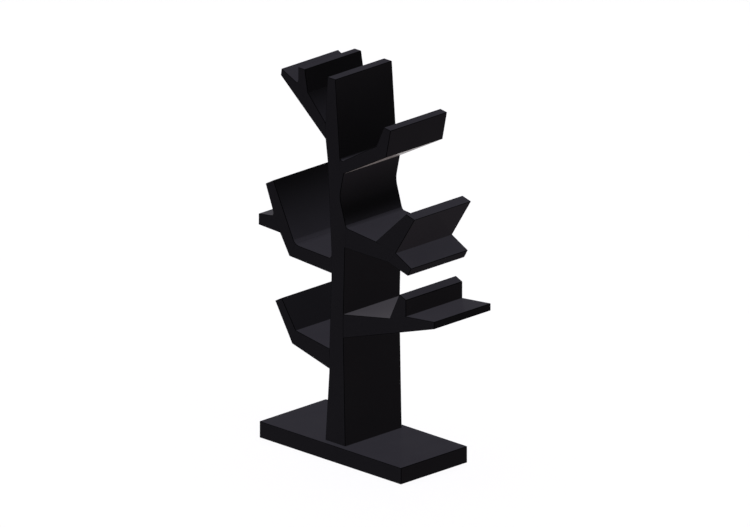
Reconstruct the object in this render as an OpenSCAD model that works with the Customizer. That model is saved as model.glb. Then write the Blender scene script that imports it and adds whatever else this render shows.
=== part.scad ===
// A free-standing tree shaped bookshelf, 1.2 m tall, in black lacquered board.
// A leaning trunk stands on a base slab. Six arms are dowelled and cam locked to it,
// and side boards, dividers and ledges on the arms hold the books.
// +X is to the right, +Y to the back, +Z up. The origin is on the floor under the base's middle.
// Every board has one outline, seen from the front, and runs the full depth of the tree.
// An outline point is [out, up]: out from the tree's middle plane, up from the trunk's foot.

/* [Base] */
// Width of the base slab, left to right
base_w = 600; // [540:5:700]
// Depth of the base slab, front to back
base_d = 280; // [260:5:340]
// Thickness of the base slab
base_t = 52; // [46:1:60]
// Thickness of the felt pads that the base stands on
pad_t = 2; // [1:0.5:5]
// Diameter of a felt pad
pad_d = 40; // [25:1:50]
// Distance of the corner pads' middles from the base's edges
pad_inset = 40; // [30:1:60]

/* [Trunk] */
// Depth of the trunk and of every board, front to back
tree_d = 240; // [220:5:260]
// Height of the trunk above the base slab
trunk_h = 1155; // [1080:5:1300]
// Trunk's left face from the middle plane, at the foot
left_foot = 41; // [36:1:50]
// Trunk's right face from the middle plane, at the foot
right_foot = 43; // [38:1:50]
// Trunk's left face from the middle plane, where it starts to lean out to the upper left arm
left_neck = 31; // [28:1:34]
// Height of that neck, as a share of the trunk's height
left_neck_share = 0.7635; // [0.74:0.0005:0.79]
// Trunk's right face from the middle plane, at its narrow waist
right_waist = 18.5; // [14:0.5:24]
// Height of the waist, as a share of the trunk's height
right_waist_share = 0.6805; // [0.67:0.0005:0.69]
// Radius that rounds the waist
right_waist_r = 80; // [40:5:100]
// Trunk's left face from the middle plane, at the top
left_top = 32; // [28:1:38]
// Trunk's right face from the middle plane, at the top
right_top = 1; // [0:0.5:6]

/* [Lower left arm] */
// Height of the arm's underside at the trunk, as a share of the trunk's height
low_left_share = 0.199; // [0.187:0.0005:0.207]
// Trunk's left face from the middle plane, at this arm
low_left_seat = 24.5; // [22:0.5:28]
// Thickness of the arm at the trunk
low_left_root_t = 64; // [56:1:70]
// Length of the arm's floor
low_left_floor_l = 144; // [130:1:160]
// Angle of the floor, up from level
low_left_floor_angle = 8.8; // [5:0.1:12]
// Length of the side board's inner face
low_left_side_l = 107; // [90:1:130]
// Angle of the side board's inner face, up from level
low_left_side_angle = 55.9; // [50:0.1:62]
// Thickness of the side board at its top
low_left_lip_t = 31.5; // [26:0.5:36]
// Angle of that top face
low_left_lip_angle = -29.3; // [-34:0.1:-24]
// Length of the mitre between arm and side board
low_left_mitre_l = 48; // [42:0.5:52]
// Angle of the mitre
low_left_mitre_angle = -70.9; // [-76:0.1:-66]

/* [Lower right arm] */
// Height of the arm's underside at the trunk, as a share of the trunk's height
low_right_share = 0.296; // [0.286:0.0005:0.304]
// Trunk's right face from the middle plane, at this arm
low_right_seat = 35; // [32:0.5:39]
// Thickness of the arm at the trunk
low_right_root_t = 75.5; // [66:0.5:82]
// Length of the arm's floor, from the trunk to the divider
low_right_floor_l = 199; // [180:1:215]
// Angle of the floor, up from level
low_right_floor_angle = 10.6; // [8:0.1:13]
// Length of the joint under the divider
low_right_foot_l = 73; // [66:0.5:80]
// Angle of that joint
low_right_foot_angle = 18.1; // [15:0.1:21]
// Length of the divider's inner face
low_right_divider_l = 95.5; // [80:0.5:105]
// Angle of the divider's inner face
low_right_divider_angle = 64.2; // [60:0.1:68]
// Height of the divider's outer face
low_right_divider_outer_h = 52; // [38:0.5:56]
// Length of the ledge outside the divider
low_right_ledge_l = 120.5; // [100:0.5:140]
// Angle of the ledge, up from level
low_right_ledge_angle = 6; // [3:0.1:7]
// Thickness of the ledge at its tip
low_right_tip_t = 23; // [17:0.5:25]

/* [Middle left arm] */
// Height of the arm's underside at the trunk, as a share of the trunk's height
mid_left_share = 0.464; // [0.452:0.0005:0.475]
// Trunk's left face from the middle plane, at this arm
mid_left_seat = 15.5; // [13:0.5:19]
// Thickness of the arm at the trunk
mid_left_root_t = 46; // [42:0.5:52]
// Radius of the cove between the trunk and the floor
mid_left_cove_r = 14; // [8:0.5:18]
// Length of the arm's floor, to the corner under the side board
mid_left_floor_l = 155.5; // [140:0.5:170]
// Angle of the floor, up from level
mid_left_floor_angle = 2.3; // [0:0.1:4]
// Radius that rounds the corner between floor and side board
mid_left_corner_r = 27; // [15:1:35]
// Length of the side board's inner face
mid_left_side_l = 203; // [180:1:225]
// Angle of the side board's inner face, up from level
mid_left_side_angle = 63.4; // [60:0.1:67]
// Thickness of the side board at its top
mid_left_lip_t = 38; // [33:0.5:43]
// Angle of that top face
mid_left_lip_angle = -29.3; // [-33:0.1:-25]
// Distance from the corner to the elbow below it
mid_left_mitre_l = 48; // [43:0.5:53]
// Angle from the corner to the elbow
mid_left_mitre_angle = -61.1; // [-65:0.1:-57]
// Distance from the elbow to the ledge's underside
mid_left_ledge_up = 74.5; // [68:0.5:80]
// Angle of the side board's outer face below the ledge
mid_left_ledge_up_angle = 58.5; // [56:0.1:61]
// Height of the joint between ledge and side board
mid_left_ledge_root_t = 54; // [48:0.5:60]
// Angle of that joint
mid_left_ledge_root_angle = 62.5; // [61:0.1:66]
// Length of the ledge's top
mid_left_ledge_l = 67; // [55:0.5:80]
// Angle of the ledge's top
mid_left_ledge_angle = -7.9; // [-11:0.1:-5]
// Thickness of the ledge at its tip
mid_left_tip_t = 35; // [29:0.5:40]
// Radius of the cove between the ledge and the side board
mid_left_ledge_cove_r = 10; // [6:0.5:13]

/* [Middle right arm] */
// Height of the arm's underside at the trunk, as a share of the trunk's height
mid_right_share = 0.5455; // [0.539:0.0005:0.552]
// Trunk's right face from the middle plane, just under this arm
mid_right_under = 41; // [38:0.5:42]
// Floor's end from the middle plane, where the trunk's waist would meet it
mid_right_root = 46.5; // [45.5:0.5:50]
// Thickness of the arm at that place
mid_right_root_t = 64.5; // [60:0.5:70]
// Radius of the cove between the trunk and the floor
mid_right_cove_r = 12; // [8:0.5:16]
// Length of the arm's floor, to the fork
mid_right_floor_l = 126; // [115:0.5:140]
// Angle of the floor
mid_right_floor_angle = -5.3; // [-7:0.1:-4]
// Length of the side board's inner face
mid_right_side_l = 175; // [160:1:195]
// Angle of the side board's inner face
mid_right_side_angle = 42.7; // [40:0.1:46]
// Thickness of the side board at its top
mid_right_lip_t = 37.5; // [33:0.5:42]
// Angle of that top face
mid_right_lip_angle = -14; // [-15:0.1:-9]
// Length of the joint under the side board
mid_right_fork_l = 86; // [80:0.5:92]
// Angle of that joint
mid_right_fork_angle = -10.6; // [-12:0.1:-9]
// Length of the lower ledge's top
mid_right_ledge_l = 74.5; // [65:0.5:85]
// Angle of the lower ledge's top
mid_right_ledge_angle = -26.6; // [-29:0.1:-24]
// Thickness of the lower ledge at its tip
mid_right_tip_t = 30.5; // [26:0.5:32]
// Angle of that tip face
mid_right_tip_angle = -120.3; // [-124:0.1:-117]
// Length of the arm's level underside from the middle plane
mid_right_under_l = 224.5; // [216:0.5:232]

/* [Upper right arm] */
// Height of the arm's underside at the trunk, as a share of the trunk's height
up_right_share = 0.748; // [0.743:0.0005:0.755]
// Width of the trunk's shoulder that the arm rests on
up_right_shoulder = 16; // [12:0.5:20]
// Trunk's right face from the middle plane, at this arm
up_right_seat = 20; // [18:0.5:24]
// Thickness of the arm at the trunk
up_right_root_t = 33; // [30:0.5:38]
// Radius of the cove between the trunk and the floor
up_right_cove_r = 9; // [6:0.5:12]
// Length of the arm's floor
up_right_floor_l = 178.5; // [165:0.5:195]
// Angle of the floor, up from level
up_right_floor_angle = 30.1; // [27:0.1:33]
// Length of the side board's inner face
up_right_side_l = 75; // [60:1:95]
// Angle of the side board's inner face
up_right_side_angle = 64.7; // [60:0.1:70]
// Thickness of the side board at its top
up_right_lip_t = 29; // [25:0.5:34]
// Angle of that top face
up_right_lip_angle = -7.7; // [-12:0.1:-4]
// Length of the mitre between arm and side board
up_right_mitre_l = 49; // [45:0.5:53]
// Angle of the mitre
up_right_mitre_angle = -31.8; // [-36:0.1:-28]

/* [Upper left arm] */
// Height of the arm's underside at the trunk, as a share of the trunk's height
up_left_share = 0.828; // [0.818:0.0005:0.838]
// Trunk's left face from the middle plane, at this arm
up_left_seat = 41; // [38:0.5:44]
// Thickness of the arm at the trunk
up_left_root_t = 50.5; // [47:0.5:56]
// Length of the arm's floor, from the trunk to the divider
up_left_floor_l = 107.5; // [98:0.5:118]
// Angle of the floor, up from level
up_left_floor_angle = 46; // [43:0.1:49]
// Length of the arm's top, from the divider's inner foot to the tip
up_left_top_l = 122; // [105:0.5:130]
// Angle of the arm's top, up from level
up_left_top_angle = 23.7; // [21:0.1:26]
// Thickness of the arm at its tip
up_left_tip_t = 21.5; // [18:0.5:25]
// Angle of that tip face
up_left_tip_angle = -82; // [-88:0.5:-76]
// Width of the divider's foot, measured level
up_left_foot_w = 41; // [37:0.5:46]
// Width of the divider at its top
up_left_divider_t = 28; // [24:0.5:32]
// Radius of the cove between the divider and the arm's top
up_left_cove_r = 8; // [5:0.5:11]

/* [Dowels] */
// Diameter of the dowels between boards
dowel_d = 8; // [6:0.5:10]
// Length of the dowels between the trunk and the arms
arm_dowel_l = 40; // [30:1:44]
// Length of the dowels between two boards of one arm
side_dowel_l = 30; // [24:1:32]
// Length of the dowels under the dividers
divider_dowel_l = 30; // [24:1:32]
// Distance of the outermost dowels from the front and back faces
dowel_inset = 22; // [16:1:28]
// Diameter of the dowels between base and trunk
base_dowel_d = 12; // [10:0.5:14]
// Length of the dowels between base and trunk
base_dowel_l = 50; // [40:1:60]

/* [Cam locks] */
// Diameter of a cam
cam_d = 15; // [12:0.5:16]
// Height of a cam
cam_h = 13; // [10:0.5:14]
// Distance of a cam's middle from the trunk
cam_reach = 34; // [30:1:38]
// Depth of a cam's bolt below the arm's underside skin, at the cam
cam_skin = 13; // [12:0.5:14]
// Diameter of a cam bolt's thread
cam_thread_d = 5; // [4:0.5:6]
// Length of a cam bolt's thread in the trunk
cam_thread_l = 11; // [9:1:14]
// Diameter of a cam bolt's stem
cam_stem_d = 6; // [5:0.5:7]
// Diameter of a cam bolt's collar
cam_collar_d = 8; // [7.5:0.5:9]
// Thickness of the collar
cam_collar_t = 1.5; // [1:0.5:2]
// Diameter of a cam bolt's neck
cam_neck_d = 4; // [3.5:0.5:4.5]
// Diameter of a cam bolt's head
cam_head_d = 6.5; // [6:0.5:7]
// Length of a cam bolt's head
cam_head_l = 4; // [3:0.5:5]

/* [Screws and bolts] */
// Diameter of a divider screw
screw_d = 5; // [4:0.5:6]
// Length of a divider screw under its head
screw_l = 50; // [44:1:54]
// Board between a divider screw's head and the joint above it
screw_grip = 28; // [24:1:32]
// Diameter of a divider screw's head
screw_head_d = 10; // [8:0.5:11]
// Thickness of a divider screw's head
screw_head_t = 3; // [2:0.5:4]
// Length of the plug that closes a screw's hole
plug_l = 6; // [4:0.5:8]
// Diameter of a base bolt
bolt_d = 8; // [6:0.5:8]
// Length of a base bolt under its head
bolt_l = 60; // [54:1:62]
// Diameter of a base bolt's head
bolt_head_d = 13; // [12:0.5:14]
// Height of a base bolt's head
bolt_head_h = 8; // [6:0.5:9]
// Width of the hexagon socket in a bolt's head
bolt_socket_w = 6; // [5:0.5:6]
// Diameter of a base bolt's washer
washer_d = 24; // [20:1:26]
// Thickness of a washer
washer_t = 2; // [1.5:0.5:3]
// Depth of the holes that the bolt heads lie in
bolt_sink = 14; // [12:0.5:16]
// Distance between the two rows of base bolts, left to right
bolt_row_w = 36; // [30:1:40]
// Distance between the two rows of base bolts, front to back
bolt_row_d = 160; // [140:5:180]
// Outside diameter of a threaded insert
insert_d = 12; // [11:0.5:13]
// Length of a threaded insert
insert_l = 25; // [20:1:28]

/* [Hidden] */

$fn = 48;
lacquer = "#1a191d";
beech = "burlywood";
zinc = "silver";
felt = "dimgray";

// Clearance round a dowel, a cam, a bolt or a plug
fit_gap = 0.1;
// Clearance past each end of a dowel
end_gap = 0.5;
// Clearance round a shank that isn't a fit
loose_gap = 0.5;
// Overrun of a cut past the face that it opens
over = 1;
// Depth of the slots in a cam and in a screw's head
slot_deep = 1.5;
// Width of those slots
slot_w = 1.2;
// Steps in a rounded corner, and in the half of it on either side of a joint
corner_steps = 8;
corner_half = corner_steps / 2;
// Height of the dowels on an arm's root, as a share of the root's thickness
dowel_up_share = 0.55;
// Places of the inner pair of dowels, and of the cams, as shares of the outermost dowels'
dowel_y_shares = [-1, -0.33, 0.33, 1];
cam_y_shares = [-0.66, 0.66];
screw_y_shares = [-0.9, 0, 0.9];
divider_dowel_y_shares = [-0.45, 0.45];
base_dowel_y_shares = [-0.5, 0.5];

foot_z = pad_t + base_t;
dowel_y = tree_d / 2 - dowel_inset;

// Heights up the trunk, which follow its height
left_neck_z = trunk_h * left_neck_share;
right_waist_z = trunk_h * right_waist_share;
low_left_z = trunk_h * low_left_share;
low_right_z = trunk_h * low_right_share;
mid_left_z = trunk_h * mid_left_share;
mid_right_z = trunk_h * mid_right_share;
up_right_z = trunk_h * up_right_share;
up_left_z = trunk_h * up_left_share;

// A point at a length and an angle from another
function step(p, len, ang) = p + len * [cos(ang), sin(ang)];
function unit(v) = v / norm(v);
function turned(v, ang) = [v.x * cos(ang) - v.y * sin(ang), v.x * sin(ang) + v.y * cos(ang)];
// The height of the line from a to b at a distance out
function height_at(a, b, out) = a.y + (b.y - a.y) * (out - a.x) / (b.x - a.x);
// A rounded corner at c, from the line to a round to the line to b
function rounded(a, c, b, r) =
    let (
        u = unit(a - c),
        v = unit(b - c),
        half = acos(u * v) / 2,
        middle = c + unit(u + v) * r / sin(half),
        start = c + u * r / tan(half) - middle,
        sweep = (2 * half - 180) * sign(cross(u, v))
    )
    [for (i = [0:corner_steps]) middle + turned(start, sweep * i / corner_steps)];
function from_to(list, first, last) = [for (i = [first:last]) list[i]];
function mirrored(points) = [for (p = points) [-p.x, p.y]];
function reversed(list) = [for (i = [len(list) - 1:-1:0]) list[i]];

// Lower left: seat on the trunk, floor, mitre, side board
low_left_under = [low_left_seat, low_left_z];
low_left_floor = low_left_under + [0, low_left_root_t];
low_left_corner = step(low_left_floor, low_left_floor_l, low_left_floor_angle);
low_left_elbow = step(low_left_corner, low_left_mitre_l, low_left_mitre_angle);
low_left_lip = step(low_left_corner, low_left_side_l, low_left_side_angle);
low_left_lip_out = step(low_left_lip, low_left_lip_t, low_left_lip_angle);

// Lower right: seat, floor, divider's foot, ledge
low_right_under = [low_right_seat, low_right_z];
low_right_floor = low_right_under + [0, low_right_root_t];
low_right_corner = step(low_right_floor, low_right_floor_l, low_right_floor_angle);
low_right_foot = step(low_right_corner, low_right_foot_l, low_right_foot_angle);
low_right_tip = step(low_right_foot, low_right_ledge_l, low_right_ledge_angle);
low_right_tip_under = low_right_tip - [0, low_right_tip_t];
low_right_divider_top = step(low_right_corner, low_right_divider_l, low_right_divider_angle);
low_right_divider_out = low_right_foot + [0, low_right_divider_outer_h];

// Middle left: seat with a cove, floor, rounded corner, side board with a ledge outside
mid_left_under = [mid_left_seat, mid_left_z];
mid_left_floor = mid_left_under + [0, mid_left_root_t];
mid_left_corner = step(mid_left_floor, mid_left_floor_l, mid_left_floor_angle);
mid_left_lip = step(mid_left_corner, mid_left_side_l, mid_left_side_angle);
mid_left_lip_out = step(mid_left_lip, mid_left_lip_t, mid_left_lip_angle);
mid_left_elbow = step(mid_left_corner, mid_left_mitre_l, mid_left_mitre_angle);
mid_left_above = mid_left_floor + [0, mid_left_root_t];
mid_left_cove = rounded(mid_left_corner, mid_left_floor, mid_left_above, mid_left_cove_r);
mid_left_round = rounded(mid_left_floor, mid_left_corner, mid_left_lip, mid_left_corner_r);
mid_left_ledge_under = step(mid_left_elbow, mid_left_ledge_up, mid_left_ledge_up_angle);
mid_left_ledge_over = step(mid_left_ledge_under, mid_left_ledge_root_t, mid_left_ledge_root_angle);
mid_left_tip = step(mid_left_ledge_over, mid_left_ledge_l, mid_left_ledge_angle);
mid_left_tip_under = mid_left_tip - [0, mid_left_tip_t];
mid_left_ledge_cove = rounded(
    mid_left_tip, mid_left_ledge_over, mid_left_lip_out, mid_left_ledge_cove_r
);

// Middle right: a cove that runs up into the trunk's waist, floor, fork
waist = [right_waist, right_waist_z];
mid_right_floor = [mid_right_root, mid_right_z + mid_right_root_t];
mid_right_corner = step(mid_right_floor, mid_right_floor_l, mid_right_floor_angle);
mid_right_cove = rounded(mid_right_corner, mid_right_floor, waist, mid_right_cove_r);
mid_right_seat = mid_right_cove[corner_steps].x;
mid_right_seat_under = [mid_right_seat, mid_right_z];
mid_right_crotch = step(mid_right_corner, mid_right_fork_l, mid_right_fork_angle);
mid_right_kink = [mid_right_under_l, mid_right_z];
mid_right_lip = step(mid_right_corner, mid_right_side_l, mid_right_side_angle);
mid_right_lip_out = step(mid_right_lip, mid_right_lip_t, mid_right_lip_angle);
mid_right_tip = step(mid_right_crotch, mid_right_ledge_l, mid_right_ledge_angle);
mid_right_tip_under = step(mid_right_tip, mid_right_tip_t, mid_right_tip_angle);

// Upper right: shoulder and seat with a cove, floor, mitre, side board
up_right_under = [up_right_seat, up_right_z];
up_right_shoulder_end = up_right_under + [up_right_shoulder, 0];
up_right_floor = up_right_under + [0, up_right_root_t];
up_right_corner = step(up_right_floor, up_right_floor_l, up_right_floor_angle);
up_right_above = up_right_floor + [0, up_right_root_t];
up_right_cove = rounded(up_right_corner, up_right_floor, up_right_above, up_right_cove_r);
up_right_elbow = step(up_right_corner, up_right_mitre_l, up_right_mitre_angle);
up_right_lip = step(up_right_corner, up_right_side_l, up_right_side_angle);
up_right_lip_out = step(up_right_lip, up_right_lip_t, up_right_lip_angle);

// Upper left: seat, floor, divider's foot, tip
up_left_under = [up_left_seat, up_left_z];
up_left_floor = up_left_under + [0, up_left_root_t];
up_left_foot = step(up_left_floor, up_left_floor_l, up_left_floor_angle);
up_left_tip = step(up_left_foot, up_left_top_l, up_left_top_angle);
up_left_tip_under = step(up_left_tip, up_left_tip_t, up_left_tip_angle);
up_left_foot_out = [
    up_left_foot.x + up_left_foot_w,
    height_at(up_left_foot, up_left_tip, up_left_foot.x + up_left_foot_w)
];
up_left_divider_out = [up_left_foot_out.x, trunk_h];
up_left_divider_in = up_left_divider_out - [up_left_divider_t, 0];
up_left_cove = rounded(up_left_tip, up_left_foot_out, up_left_divider_out, up_left_cove_r);

trunk_points = concat(
    [[-left_foot, 0]],
    mirrored([
        low_left_under,
        low_left_floor,
        mid_left_under,
        mid_left_cove[corner_steps],
        [left_neck, left_neck_z],
        up_left_under,
        up_left_floor,
        [left_top, trunk_h]
    ]),
    [
        [right_top, trunk_h],
        up_right_cove[corner_steps],
        up_right_under,
        up_right_shoulder_end
    ],
    rounded(up_right_shoulder_end, waist, mid_right_floor, right_waist_r),
    [
        mid_right_cove[corner_steps],
        mid_right_seat_under,
        [mid_right_under, mid_right_z],
        low_right_floor,
        low_right_under,
        [right_foot, 0]
    ]
);

// Each arm's seat on the trunk: side, lower end, thickness at the trunk, and the bolt's
// height over the lower end, which clears the arm's sloping underside at the cam
function seat(side, under, root_t, slope_from, slope_to) = [
    side, under, root_t,
    cam_skin + height_at(slope_from, slope_to, under.x + cam_reach) - under.y
];
seats = [
    seat(-1, low_left_under, low_left_root_t, low_left_under, low_left_elbow),
    seat(1, low_right_under, low_right_root_t, low_right_under, low_right_tip_under),
    seat(-1, mid_left_under, mid_left_root_t, mid_left_under, mid_left_elbow),
    seat(1, mid_right_seat_under, mid_right_root_t, mid_right_seat_under, mid_right_kink),
    seat(1, up_right_under, up_right_root_t, up_right_shoulder_end, up_right_elbow),
    seat(-1, up_left_under, up_left_root_t, up_left_under, up_left_tip_under)
];

// Joints between two boards of one arm: side, and the joint's two ends
side_joints = [
    [-1, low_left_corner, low_left_elbow],
    [-1, mid_left_round[corner_half], mid_left_elbow],
    [-1, mid_left_ledge_over, mid_left_ledge_under],
    [1, mid_right_corner, mid_right_crotch],
    [1, mid_right_crotch, mid_right_kink],
    [1, up_right_corner, up_right_elbow]
];

// Joints under the dividers: side, the joint's two ends, and the arm's underside below it
divider_joints = [
    [1, low_right_corner, low_right_foot, low_right_under, low_right_tip_under],
    [-1, up_left_foot, up_left_foot_out, up_left_under, up_left_tip_under]
];

bolt_y = bolt_row_d / 2;
foot_middle = (right_foot - left_foot) / 2;
bolt_places = [
    for (dx = [-bolt_row_w / 2, bolt_row_w / 2], y = [-bolt_y, bolt_y]) [foot_middle + dx, y]
];
pad_places = concat(
    [[0, 0]],
    [
        for (x = [-1, 1], y = [-1, 1])
            [x * (base_w / 2 - pad_inset), y * (base_d / 2 - pad_inset)]
    ]
);

// A board: its outline, run through the depth of the tree
module board(points) {
    translate([0, 0, foot_z])
        rotate([90, 0, 0])
            linear_extrude(tree_d, center = true)
                polygon(points);
}

// Puts a piece at each place across the depth, at [out, up] on a side of the tree
module placed(side, p, places) {
    for (y = places)
        translate([side * p.x, y, foot_z + p.y])
            children();
}

// Turns a piece drawn along +Z to point out from the tree, level
module pointing_out(side) {
    rotate([0, side * 90, 0])
        children();
}

// Rods across the joint between trunk and arm: dowels, or with gaps their holes
module arm_rods(s, gap, extra) {
    placed(s[0], s[1] + [0, s[2] * dowel_up_share], dowel_y * dowel_y_shares)
        pointing_out(s[0])
            cylinder(h = arm_dowel_l + 2 * extra, d = dowel_d + 2 * gap, center = true);
}

// Rods square across a joint between two boards
module side_rods(j, gap, extra) {
    across = j[2] - j[1];
    placed(j[0], (j[1] + j[2]) / 2, dowel_y * dowel_y_shares)
        rotate([0, -j[0] * atan2(across.y, across.x), 0])
            cylinder(h = side_dowel_l + 2 * extra, d = dowel_d + 2 * gap, center = true);
}

// Upright rods across the joint under a divider
module divider_rods(j, gap, extra) {
    placed(j[0], (j[1] + j[2]) / 2, dowel_y * divider_dowel_y_shares)
        cylinder(h = divider_dowel_l + 2 * extra, d = dowel_d + 2 * gap, center = true);
}

// Puts a piece at each cam bolt of a seat, drawn along +Z away from the trunk's face
module at_cams(s) {
    placed(s[0], s[1] + [0, s[3]], dowel_y * cam_y_shares)
        pointing_out(s[0])
            children();
}

// Holes in the trunk for one seat: dowels and the cam bolts' threads
module trunk_holes(s) {
    arm_rods(s, fit_gap, end_gap);
    at_cams(s)
        translate([0, 0, -cam_thread_l - end_gap])
            cylinder(h = cam_thread_l + end_gap + over, d = cam_thread_d + 2 * fit_gap);
}

// Holes in an arm for its seat: dowels, the cam bolts' stems, and the cams from below
module arm_holes(s) {
    cam_p = s[1] + [cam_reach, s[3]];
    arm_rods(s, fit_gap, end_gap);
    at_cams(s)
        translate([0, 0, -over])
            cylinder(h = cam_reach + over, d = cam_collar_d + 2 * fit_gap);
    placed(s[0], cam_p, dowel_y * cam_y_shares)
        translate([0, 0, cam_h / 2 - s[2]])
            cylinder(h = s[2], d = cam_d + 2 * fit_gap);
}

// The underside's height below a divider's joint
function divider_under(j) = height_at(j[3], j[4], (j[1].x + j[2].x) / 2);
function divider_mid(j) = (j[1] + j[2]) / 2;
// The height of a screw plug's lower end, clear of the sloping underside
function plug_up(j) =
    divider_under(j) + screw_head_d * abs((j[4].y - j[3].y) / (j[4].x - j[3].x)) / 2 + over;

// Holes in an arm under its divider: dowels, screws' shanks, and their heads from below
module divider_holes_below(j) {
    mid = divider_mid(j);
    divider_rods(j, fit_gap, end_gap);
    placed(j[0], mid - [0, screw_grip], dowel_y * screw_y_shares) {
        translate([0, 0, -over])
            cylinder(h = 2 * screw_grip, d = screw_d + 2 * loose_gap);
        translate([0, 0, -2 * screw_l])
            cylinder(h = 2 * screw_l, d = screw_head_d + 2 * loose_gap);
    }
}

// Holes in a divider: dowels and the screws' threads
module divider_holes_above(j) {
    divider_rods(j, fit_gap, end_gap);
    placed(j[0], divider_mid(j) - [0, screw_grip], dowel_y * screw_y_shares)
        cylinder(h = screw_l + end_gap, d = screw_d + 2 * fit_gap);
}

module base_slab() {
    color(lacquer)
        difference() {
            translate([-base_w / 2, -base_d / 2, pad_t])
                cube([base_w, base_d, base_t]);
            for (p = bolt_places)
                translate([p.x, p.y, pad_t - over]) {
                    cylinder(h = bolt_sink + over, d = washer_d + 2 * loose_gap);
                    cylinder(h = base_t + 2 * over, d = bolt_d + 2 * loose_gap);
                }
            base_rods(fit_gap, end_gap);
        }
}

// Upright rods across the joint between base and trunk
module base_rods(gap, extra) {
    for (y = bolt_y * base_dowel_y_shares)
        translate([foot_middle, y, foot_z])
            cylinder(h = base_dowel_l + 2 * extra, d = base_dowel_d + 2 * gap, center = true);
}

module trunk() {
    color(lacquer)
        difference() {
            board(trunk_points);
            for (s = seats)
                trunk_holes(s);
            base_rods(fit_gap, end_gap);
            for (p = bolt_places)
                translate([p.x, p.y, foot_z - over])
                    cylinder(h = insert_l + end_gap + over, d = insert_d + 2 * fit_gap);
            for (p = bolt_places)
                translate([p.x, p.y, foot_z])
                    cylinder(h = bolt_l, d = bolt_d + 2 * loose_gap);
        }
}

module lower_left_arm() {
    color(lacquer)
        difference() {
            board(mirrored([low_left_under, low_left_floor, low_left_corner, low_left_elbow]));
            arm_holes(seats[0]);
            side_rods(side_joints[0], fit_gap, end_gap);
        }
}

module lower_left_side() {
    color(lacquer)
        difference() {
            board(mirrored([low_left_corner, low_left_lip, low_left_lip_out, low_left_elbow]));
            side_rods(side_joints[0], fit_gap, end_gap);
        }
}

module lower_right_arm() {
    color(lacquer)
        difference() {
            board([
                low_right_under, low_right_floor, low_right_corner, low_right_foot,
                low_right_tip, low_right_tip_under
            ]);
            arm_holes(seats[1]);
            divider_holes_below(divider_joints[0]);
        }
}

module lower_right_divider() {
    color(lacquer)
        difference() {
            board([low_right_corner, low_right_divider_top, low_right_divider_out, low_right_foot]);
            divider_holes_above(divider_joints[0]);
        }
}

module middle_left_arm() {
    color(lacquer)
        difference() {
            board(mirrored(concat(
                [mid_left_under],
                reversed(mid_left_cove),
                from_to(mid_left_round, 0, corner_half),
                [mid_left_elbow]
            )));
            arm_holes(seats[2]);
            side_rods(side_joints[1], fit_gap, end_gap);
        }
}

module middle_left_side() {
    color(lacquer)
        difference() {
            board(mirrored(concat(
                from_to(mid_left_round, corner_half, corner_steps),
                [
                    mid_left_lip, mid_left_lip_out, mid_left_ledge_over,
                    mid_left_ledge_under, mid_left_elbow
                ]
            )));
            side_rods(side_joints[1], fit_gap, end_gap);
            side_rods(side_joints[2], fit_gap, end_gap);
        }
}

module middle_left_ledge() {
    color(lacquer)
        difference() {
            board(mirrored(concat(
                [mid_left_ledge_under, mid_left_ledge_over],
                reversed(mid_left_ledge_cove),
                [mid_left_tip, mid_left_tip_under]
            )));
            side_rods(side_joints[2], fit_gap, end_gap);
        }
}

module middle_right_arm() {
    color(lacquer)
        difference() {
            board(concat(
                [mid_right_seat_under],
                reversed(mid_right_cove),
                [mid_right_corner, mid_right_crotch, mid_right_kink]
            ));
            arm_holes(seats[3]);
            side_rods(side_joints[3], fit_gap, end_gap);
            side_rods(side_joints[4], fit_gap, end_gap);
        }
}

module middle_right_side() {
    color(lacquer)
        difference() {
            board([mid_right_corner, mid_right_lip, mid_right_lip_out, mid_right_crotch]);
            side_rods(side_joints[3], fit_gap, end_gap);
        }
}

module middle_right_ledge() {
    color(lacquer)
        difference() {
            board([mid_right_crotch, mid_right_tip, mid_right_tip_under, mid_right_kink]);
            side_rods(side_joints[4], fit_gap, end_gap);
        }
}

module upper_right_arm() {
    color(lacquer)
        difference() {
            board(concat(
                [up_right_under],
                reversed(up_right_cove),
                [up_right_corner, up_right_elbow, up_right_shoulder_end]
            ));
            arm_holes(seats[4]);
            side_rods(side_joints[5], fit_gap, end_gap);
        }
}

module upper_right_side() {
    color(lacquer)
        difference() {
            board([up_right_corner, up_right_lip, up_right_lip_out, up_right_elbow]);
            side_rods(side_joints[5], fit_gap, end_gap);
        }
}

module upper_left_arm() {
    color(lacquer)
        difference() {
            board(mirrored([
                up_left_under, up_left_floor, up_left_foot, up_left_foot_out,
                up_left_tip, up_left_tip_under
            ]));
            arm_holes(seats[5]);
            divider_holes_below(divider_joints[1]);
        }
}

module upper_left_divider() {
    color(lacquer)
        difference() {
            board(mirrored(concat(
                [up_left_foot, up_left_divider_in, up_left_divider_out],
                reversed(up_left_cove),
                [up_left_foot_out]
            )));
            divider_holes_above(divider_joints[1]);
        }
}

module arm_dowels() {
    color(beech)
        for (s = seats)
            arm_rods(s, 0, 0);
}

module side_dowels() {
    color(beech)
        for (j = side_joints)
            side_rods(j, 0, 0);
}

module divider_dowels() {
    color(beech)
        for (j = divider_joints)
            divider_rods(j, 0, 0);
}

module base_dowels() {
    color(beech)
        base_rods(0, 0);
}

// A cam bolt: thread in the trunk, collar on its face, stem, neck, and head inside the cam
module cam_bolts() {
    neck_from = cam_reach - cam_d / 2;
    head_from = cam_reach - cam_head_l / 2;
    color(zinc)
        for (s = seats)
            at_cams(s) {
                translate([0, 0, -cam_thread_l])
                    cylinder(h = cam_thread_l, d = cam_thread_d);
                cylinder(h = cam_collar_t, d = cam_collar_d);
                cylinder(h = neck_from, d = cam_stem_d);
                cylinder(h = head_from + over, d = cam_neck_d);
                translate([0, 0, head_from])
                    cylinder(h = cam_head_l, d = cam_head_d);
            }
}

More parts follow.
